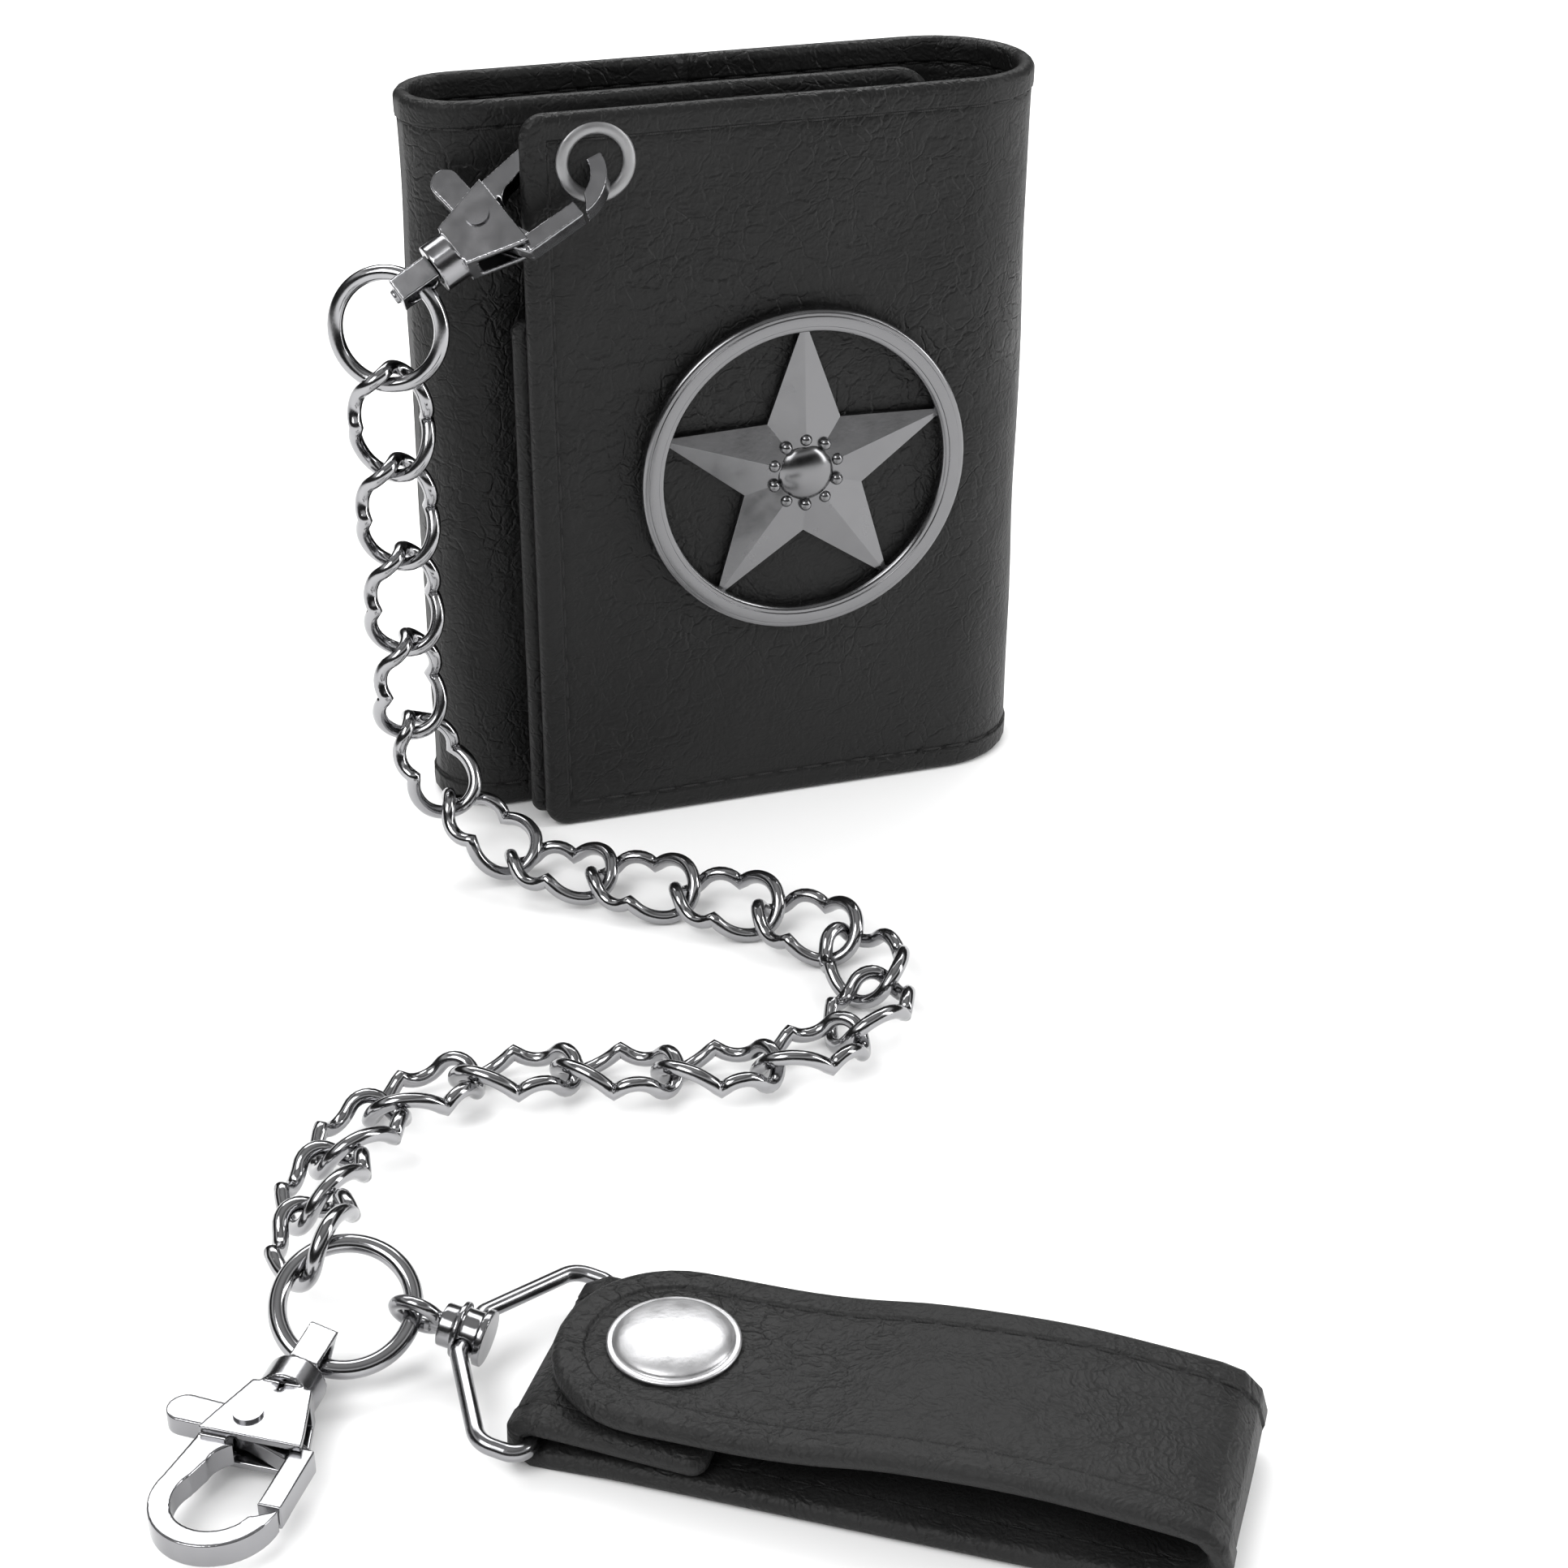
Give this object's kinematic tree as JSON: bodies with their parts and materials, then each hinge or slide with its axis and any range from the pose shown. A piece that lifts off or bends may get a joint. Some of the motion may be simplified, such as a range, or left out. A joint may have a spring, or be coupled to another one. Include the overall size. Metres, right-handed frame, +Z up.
{
  "type": "chain wallet",
  "caption": "Black leather trifold wallet standing folded, with a round metal badge, a twisted-link chain, swivel clasps and a snap-closed leather belt loop.",
  "frame": {"origin": "bottom centre of the whole object's bounding box", "axes": "+Z up, the wallet's front faces -Y and its badge with it, +X to the right seen from the front"},
  "size_m": [0.1564, 0.2082, 0.11],
  "materials": {
    "black_leather": "near-black grained leather with a soft sheen",
    "lining": "black woven lining",
    "eyelet_grey": "matte grey painted metal",
    "badge_metal": "dark polished black nickel",
    "snap_silver": "satin silver",
    "spring_steel": "bare spring wire",
    "black_nickel": "polished black nickel plating"
  },
  "bodies": {
    "front_panel": {"front_cover": "black_leather", "front_card_pocket": "black_leather", "eyelet": "eyelet_grey", "eyelet_washer": "eyelet_grey", "emblem_badge": "badge_metal"},
    "right_spine": {"right_spine": "black_leather"},
    "back_panel": {"back_cover": "black_leather", "bill_pocket_lining": "lining"},
    "left_spine": {"left_spine": "black_leather"},
    "inner_flap": {"inner_flap": "black_leather", "inner_card_pocket": "black_leather"},
    "top_clasp": {"top_clasp_hook": "black_nickel", "top_clasp_rivet": "black_nickel", "top_clasp_spring": "spring_steel"},
    "top_lever": {"top_clasp_lever": "black_nickel"},
    "top_swivel": {"top_swivel_eye": "black_nickel"},
    "top_ring": {"top_ring": "black_nickel"},
    "link_01": {"chain_link_01": "black_nickel"},
    "link_02": {"chain_link_02": "black_nickel"},
    "link_03": {"chain_link_03": "black_nickel"},
    "link_04": {"chain_link_04": "black_nickel"},
    "link_05": {"chain_link_05": "black_nickel"},
    "link_06": {"chain_link_06": "black_nickel"},
    "link_07": {"chain_link_07": "black_nickel"},
    "link_08": {"chain_link_08": "black_nickel"},
    "link_09": {"chain_link_09": "black_nickel"},
    "link_10": {"chain_link_10": "black_nickel"},
    "link_11": {"chain_link_11": "black_nickel"},
    "link_12": {"chain_link_12": "black_nickel"},
    "link_13": {"chain_link_13": "black_nickel"},
    "link_14": {"chain_link_14": "black_nickel"},
    "link_15": {"chain_link_15": "black_nickel"},
    "link_16": {"chain_link_16": "black_nickel"},
    "link_17": {"chain_link_17": "black_nickel"},
    "link_18": {"chain_link_18": "black_nickel"},
    "link_19": {"chain_link_19": "black_nickel"},
    "link_20": {"chain_link_20": "black_nickel"},
    "lower_ring": {"lower_ring": "black_nickel"},
    "lower_swivel": {"lower_swivel_eye": "black_nickel"},
    "lower_clasp": {"lower_clasp_hook": "black_nickel", "lower_clasp_rivet": "black_nickel", "lower_clasp_spring": "spring_steel"},
    "lower_lever": {"lower_clasp_lever": "black_nickel"},
    "strap_swivel_link": {"strap_swivel_link": "black_nickel"},
    "strap_swivel": {"strap_swivel_barrel": "black_nickel", "strap_swivel_stud": "black_nickel"},
    "wire_loop": {"strap_wire_loop": "black_nickel"},
    "strap": {"strap_base": "black_leather", "snap_stud": "snap_silver"},
    "strap_flap": {"strap_flap": "black_leather", "snap_cap": "snap_silver", "snap_socket": "snap_silver"}
  },
  "joints": [
    {"name": "right_fold_front", "type": "hinge", "parent": "front_panel", "child": "right_spine", "pos_m": [0.06434, 0.07639, 0.055], "axis": [0, 0, -1], "range_deg": [0, 90]},
    {"name": "right_fold_back", "type": "hinge", "parent": "right_spine", "child": "back_panel", "pos_m": [0.06434, 0.10409, 0.055], "axis": [0, 0, -1], "range_deg": [0, 90]},
    {"name": "left_fold_back", "type": "hinge", "parent": "back_panel", "child": "left_spine", "pos_m": [-0.00556, 0.10409, 0.055], "axis": [0, 0, -1], "range_deg": [0, 5]},
    {"name": "left_fold_inner", "type": "hinge", "parent": "left_spine", "child": "inner_flap", "pos_m": [-0.00556, 0.08559, 0.055], "axis": [0, 0, -1], "range_deg": [0, 5]},
    {"name": "top_clasp_in_eyelet", "type": "hinge", "parent": "front_panel", "child": "top_clasp", "pos_m": [0.00909, 0.07639, 0.103], "axis": [0, 1, 0], "range_deg": [-2, 2]},
    {"name": "top_lever_press", "type": "hinge", "parent": "top_clasp", "child": "top_lever", "pos_m": [-0.00706, 0.07739, 0.09554], "axis": [-0.3227, -0.6211, 0.7142], "range_deg": [0, 8], "stiffness_Nm_per_rad": 0.02, "springref_deg": -8.59},
    {"name": "top_swivel_turn", "type": "hinge", "parent": "top_clasp", "child": "top_swivel", "pos_m": [-0.01431, 0.07524, 0.0904], "axis": [0.8712, 0.1001, 0.4806], "range_deg": [-4, 4]},
    {"name": "top_ring_swing", "type": "hinge", "parent": "top_swivel", "child": "top_ring", "pos_m": [-0.01696, 0.07494, 0.08893], "axis": [-0.6967, 0.5103, 0.5042], "range_deg": [-4, 4]},
    {"name": "link_01_swing", "type": "hinge", "parent": "top_ring", "child": "link_01", "pos_m": [-0.02158, 0.07484, 0.07604], "axis": [1, 0, 0], "range_deg": [-2.5, 2.5]},
    {"name": "link_02_swing", "type": "hinge", "parent": "link_01", "child": "link_02", "pos_m": [-0.02158, 0.07484, 0.06244], "axis": [0, 1, 0], "range_deg": [-2.5, 2.5]},
    {"name": "link_03_swing", "type": "hinge", "parent": "link_02", "child": "link_03", "pos_m": [-0.02158, 0.07484, 0.04884], "axis": [-1, 0, 0], "range_deg": [-2.5, 2.5]},
    {"name": "link_04_swing", "type": "hinge", "parent": "link_03", "child": "link_04", "pos_m": [-0.02158, 0.07484, 0.03524], "axis": [0, -1, 0], "range_deg": [-2.5, 2.5]},
    {"name": "link_05_swing", "type": "hinge", "parent": "link_04", "child": "link_05", "pos_m": [-0.02158, 0.07484, 0.02164], "axis": [-0.9798, -0.2, 0], "range_deg": [-2, 2]},
    {"name": "link_06_swing", "type": "hinge", "parent": "link_05", "child": "link_06", "pos_m": [-0.01679, 0.07019, 0.01026], "axis": [0.9798, 0.2, 0], "range_deg": [-2, 2]},
    {"name": "link_07_swing", "type": "hinge", "parent": "link_06", "child": "link_07", "pos_m": [-0.00892, 0.06182, 0.00375], "axis": [0, 0, -1], "range_deg": [-2, 2]},
    {"name": "link_08_swing", "type": "hinge", "parent": "link_07", "child": "link_08", "pos_m": [0.00148, 0.0537, 0.00375], "axis": [0, 0, 1], "range_deg": [-2.5, 2.5]},
    {"name": "link_09_swing", "type": "hinge", "parent": "link_08", "child": "link_09", "pos_m": [0.01188, 0.04557, 0.00375], "axis": [0, 0, -1], "range_deg": [-2.5, 2.5]},
    {"name": "link_10_swing", "type": "hinge", "parent": "link_09", "child": "link_10", "pos_m": [0.02199, 0.03709, 0.00375], "axis": [0, 0, 1], "range_deg": [-2.5, 2.5]},
    {"name": "link_11_swing", "type": "hinge", "parent": "link_10", "child": "link_11", "pos_m": [0.03012, 0.02668, 0.00375], "axis": [0, 0, -1], "range_deg": [-2.5, 0.8]},
    {"name": "link_12_swing", "type": "hinge", "parent": "link_11", "child": "link_12", "pos_m": [0.03012, 0.01348, 0.00375], "axis": [0, 0, 1], "range_deg": [-0.8, 2.5]},
    {"name": "link_13_swing", "type": "hinge", "parent": "link_12", "child": "link_13", "pos_m": [0.02199, 0.00308, 0.00375], "axis": [0, 0, -1], "range_deg": [-2.5, 0.8]},
    {"name": "link_14_swing", "type": "hinge", "parent": "link_13", "child": "link_14", "pos_m": [0.00918, -0.00011, 0.00375], "axis": [0, 0, 1], "range_deg": [-0.8, 2.5]},
    {"name": "link_15_swing", "type": "hinge", "parent": "link_14", "child": "link_15", "pos_m": [-0.00373, 0.00263, 0.00375], "axis": [0, 0, -1], "range_deg": [-2.5, 2.5]},
    {"name": "link_16_swing", "type": "hinge", "parent": "link_15", "child": "link_16", "pos_m": [-0.01613, 0.00715, 0.00375], "axis": [0, 0, 1], "range_deg": [-2.5, 2.5]},
    {"name": "link_17_swing", "type": "hinge", "parent": "link_16", "child": "link_17", "pos_m": [-0.02913, 0.00944, 0.00375], "axis": [0, 0, -1], "range_deg": [-0.8, 2.5]},
    {"name": "link_18_swing", "type": "hinge", "parent": "link_17", "child": "link_18", "pos_m": [-0.04125, 0.00422, 0.00403], "axis": [0, 0, 1], "range_deg": [-2.5, 0.8]},
    {"name": "link_19_swing", "type": "hinge", "parent": "link_18", "child": "link_19", "pos_m": [-0.04918, -0.00626, 0.00528], "axis": [0, 0, -1], "range_deg": [-2.5, 2.5]},
    {"name": "link_20_swing", "type": "hinge", "parent": "link_19", "child": "link_20", "pos_m": [-0.05357, -0.01854, 0.00734], "axis": [0, 0, 1], "range_deg": [-2.5, 2.5]},
    {"name": "lower_ring_turn", "type": "hinge", "parent": "link_20", "child": "lower_ring", "pos_m": [-0.05511, -0.03107, 0.00999], "axis": [0, 0, 1], "range_deg": [-3, 3]},
    {"name": "lower_swivel_swing", "type": "hinge", "parent": "lower_ring", "child": "lower_swivel", "pos_m": [-0.05791, -0.04127, 0.00442], "axis": [0.7279, -0.6247, -0.2825], "range_deg": [-3, 3]},
    {"name": "lower_clasp_turn", "type": "hinge", "parent": "lower_swivel", "child": "lower_clasp", "pos_m": [-0.05959, -0.04382, 0.00438], "axis": [-0.55, -0.8351, -0.012], "continuous": true},
    {"name": "lower_lever_press", "type": "hinge", "parent": "lower_clasp", "child": "lower_lever", "pos_m": [-0.06587, -0.05046, 0.00427], "axis": [0.0066, 0.01, -0.9999], "range_deg": [0, 18], "stiffness_Nm_per_rad": 0.02, "springref_deg": -8.59},
    {"name": "strap_link_swing", "type": "hinge", "parent": "lower_ring", "child": "strap_swivel_link", "pos_m": [-0.04543, -0.03899, 0.00643], "axis": [0.3445, 0.8209, 0.4555], "range_deg": [-3, 3]},
    {"name": "strap_swivel_turn", "type": "hinge", "parent": "strap_swivel_link", "child": "strap_swivel", "pos_m": [-0.04543, -0.03899, 0.00643], "axis": [0.8111, -0.5575, -0.1768], "range_deg": [-30, 30]},
    {"name": "wire_loop_swing", "type": "hinge", "parent": "strap_swivel", "child": "wire_loop", "pos_m": [-0.03976, -0.0429, 0.00519], "axis": [0.5664, 0.8241, 0], "range_deg": [-30, 30]},
    {"name": "strap_on_bar", "type": "hinge", "parent": "wire_loop", "child": "strap", "pos_m": [-0.0297, -0.04981, 0.003], "axis": [0.5664, 0.8241, 0], "range_deg": [-40, 40]},
    {"name": "strap_flap_open", "type": "hinge", "parent": "strap", "child": "strap_flap", "pos_m": [0.02865, -0.08991, 0.0108], "axis": [0.5664, 0.8241, 0], "range_deg": [0, 60]}
  ],
  "couplings": [
    {"joint": "right_fold_back", "follows": "right_fold_front", "ratio": 1},
    {"joint": "left_fold_back", "follows": "right_fold_front", "ratio": 0.05},
    {"joint": "left_fold_inner", "follows": "right_fold_front", "ratio": 0.05}
  ]
}
